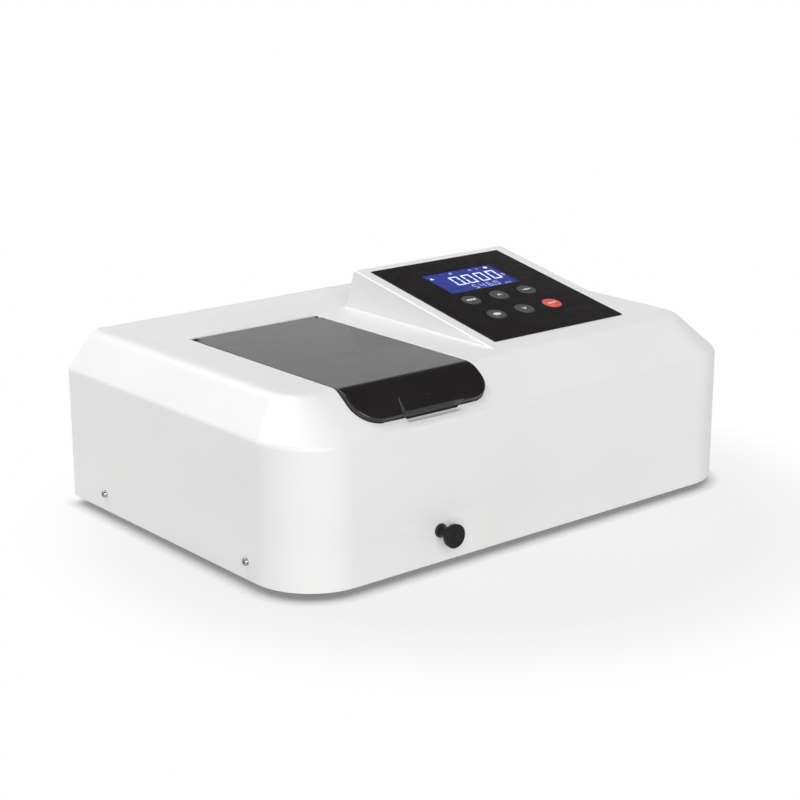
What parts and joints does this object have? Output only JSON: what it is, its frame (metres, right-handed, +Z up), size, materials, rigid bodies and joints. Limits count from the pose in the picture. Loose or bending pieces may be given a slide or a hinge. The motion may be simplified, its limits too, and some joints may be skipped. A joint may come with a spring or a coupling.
{
  "type": "spectrophotometer",
  "caption": "White benchtop spectrophotometer with a dark hinged sample lid, cuvette carriage on a pull rod, raised display pod with round buttons, and full optical bench inside.",
  "frame": {"origin": "centre of the housing's footprint on the bench, under the rubber feet", "axes": "+X to the right, +Y to the back, +Z up, seen from the front where the pull knob is"},
  "size_m": [0.4648, 0.3275, 0.1761],
  "materials": {
    "shell": "glossy",
    "rear_paint": "fine texture",
    "chassis_steel": "zinc plated",
    "foot_rubber": "matte",
    "zinc_screws": "zinc plated",
    "chrome_screws": "bright",
    "gloss_black": "glossy",
    "clear_window": "clear",
    "lcd_blue": "satin",
    "circuit_board": "solder mask",
    "power_circuit": "solder mask",
    "black_moulding": "matte",
    "foam_black": "foam",
    "clear_glass": "clear",
    "ground_steel": "ground",
    "anodised_black": "black anodised",
    "cast_black": "cast, blackened",
    "plate_steel": "sheet",
    "mirror_coat": "polished",
    "motor_black": "satin",
    "motor_can": "drawn can",
    "ceramic_white": "unglazed ceramic look",
    "lamp_glass": "quartz",
    "core_iron": "laminated",
    "brass_parts": "turned",
    "socket_metal": "tin plated",
    "fan_black": "matte",
    "chrome_wire": "bright",
    "ribbon_grey": "matte",
    "lid_dark": "glossy",
    "knob_black": "satin",
    "button_grey": "satin",
    "button_red": "satin",
    "satin_aluminium": "satin"
  },
  "bodies": {
    "base": {"base_plate": "chassis_steel", "rubber_feet": "foot_rubber", "chassis_screws": "zinc_screws", "housing_shell": "shell", "shell_screws": "chrome_screws", "rear_panel": "rear_paint", "overlay_panel": "gloss_black", "lcd_window": "clear_window", "lcd_module": "lcd_blue", "keypad_board": "circuit_board", "compartment_rim": "black_moulding", "lid_seal": "foam_black", "sample_tub": "black_moulding", "beam_windows": "clear_glass", "guide_rods": "ground_steel", "rod_bush": "black_moulding", "detent_plunger": "ground_steel", "detector_housing": "anodised_black", "photodiode_board": "circuit_board", "monochromator_box": "cast_black", "monochromator_cover": "anodised_black", "slit_plates": "plate_steel", "mirrors": "mirror_coat", "drive_bracket": "plate_steel", "stepper_motor": "motor_black", "filter_motor": "motor_can", "lamp_housing": "plate_steel", "condenser_lens": "clear_glass", "lamp_socket": "ceramic_white", "halogen_lamp": "lamp_glass", "power_board": "power_circuit", "power_transformer": "core_iron", "main_board": "circuit_board", "board_standoffs": "brass_parts", "mains_inlet": "black_moulding", "rocker_frame": "black_moulding", "fuse_holder": "black_moulding", "data_ports": "socket_metal", "fan_frame": "fan_black", "fan_guard": "chrome_wire", "ribbon_cable": "ribbon_grey"},
    "lid": {"sample_lid": "lid_dark", "lid_hinge_pins": "ground_steel"},
    "carriage": {"cuvette_carriage": "anodised_black", "pull_rod": "ground_steel", "pull_knob": "knob_black", "cuvettes": "clear_glass"},
    "button_mode": {"button_mode": "button_grey"},
    "button_up": {"button_up": "button_grey"},
    "button_zero": {"button_zero": "button_grey"},
    "button_print": {"button_print": "button_grey"},
    "button_down": {"button_down": "button_grey"},
    "button_enter": {"button_enter": "button_red"},
    "rocker": {"rocker_switch": "knob_black"},
    "fan": {"fan_rotor": "fan_black"},
    "filter_wheel": {"filter_wheel": "anodised_black"},
    "lead_screw": {"lead_screw": "ground_steel"},
    "drive_nut": {"drive_nut": "brass_parts"},
    "grating": {"grating_holder": "satin_aluminium", "grating_arm": "satin_aluminium"}
  },
  "joints": [
    {"name": "lid_hinge", "type": "hinge", "parent": "base", "child": "lid", "pos_m": [-0.1023, 0.073, 0.1396], "axis": [-1, 0, 0], "range_deg": [0, 95]},
    {"name": "carriage_slide", "type": "slide", "parent": "base", "child": "carriage", "axis": [0, -1, 0], "range_m": [0, 0.054]},
    {"name": "press_mode", "type": "slide", "parent": "base", "child": "button_mode", "axis": [0, 0.1908, -0.9816], "range_m": [0, 0.0005], "stiffness_N_per_m": 2500, "springref_m": -0.0002},
    {"name": "press_up", "type": "slide", "parent": "base", "child": "button_up", "axis": [0, 0.1908, -0.9816], "range_m": [0, 0.0005], "stiffness_N_per_m": 2500, "springref_m": -0.0002},
    {"name": "press_zero", "type": "slide", "parent": "base", "child": "button_zero", "axis": [0, 0.1908, -0.9816], "range_m": [0, 0.0005], "stiffness_N_per_m": 2500, "springref_m": -0.0002},
    {"name": "press_print", "type": "slide", "parent": "base", "child": "button_print", "axis": [0, 0.1908, -0.9816], "range_m": [0, 0.0005], "stiffness_N_per_m": 2500, "springref_m": -0.0002},
    {"name": "press_down", "type": "slide", "parent": "base", "child": "button_down", "axis": [0, 0.1908, -0.9816], "range_m": [0, 0.0005], "stiffness_N_per_m": 2500, "springref_m": -0.0002},
    {"name": "press_enter", "type": "slide", "parent": "base", "child": "button_enter", "axis": [0, 0.1908, -0.9816], "range_m": [0, 0.0005], "stiffness_N_per_m": 2500, "springref_m": -0.0002},
    {"name": "rocker_tilt", "type": "hinge", "parent": "base", "child": "rocker", "pos_m": [-0.15, 0.149, 0.056], "axis": [-1, 0, 0], "range_deg": [0, 16]},
    {"name": "fan_spin", "type": "hinge", "parent": "base", "child": "fan", "pos_m": [-0.08, 0.142, 0.07], "axis": [0, 1, 0], "continuous": true},
    {"name": "filter_turn", "type": "hinge", "parent": "base", "child": "filter_wheel", "pos_m": [-0.008, 0.1, 0.076], "axis": [0, 1, 0], "continuous": true},
    {"name": "screw_turn", "type": "hinge", "parent": "base", "child": "lead_screw", "pos_m": [0, 0.066, 0.117], "axis": [1, 0, 0], "range_deg": [-2260, 2260]},
    {"name": "nut_slide", "type": "slide", "parent": "base", "child": "drive_nut", "axis": [1, 0, 0], "range_m": [-0.0063, 0.0063]},
    {"name": "grating_turn", "type": "hinge", "parent": "base", "child": "grating", "pos_m": [0, 0.014, 0.117], "axis": [0, 0, -1], "range_deg": [-9.1, 9.1]}
  ],
  "couplings": [
    {"joint": "nut_slide", "follows": "screw_turn", "m_per_rad": 0.00015915},
    {"joint": "grating_turn", "follows": "screw_turn", "ratio": 0.0039789}
  ]
}
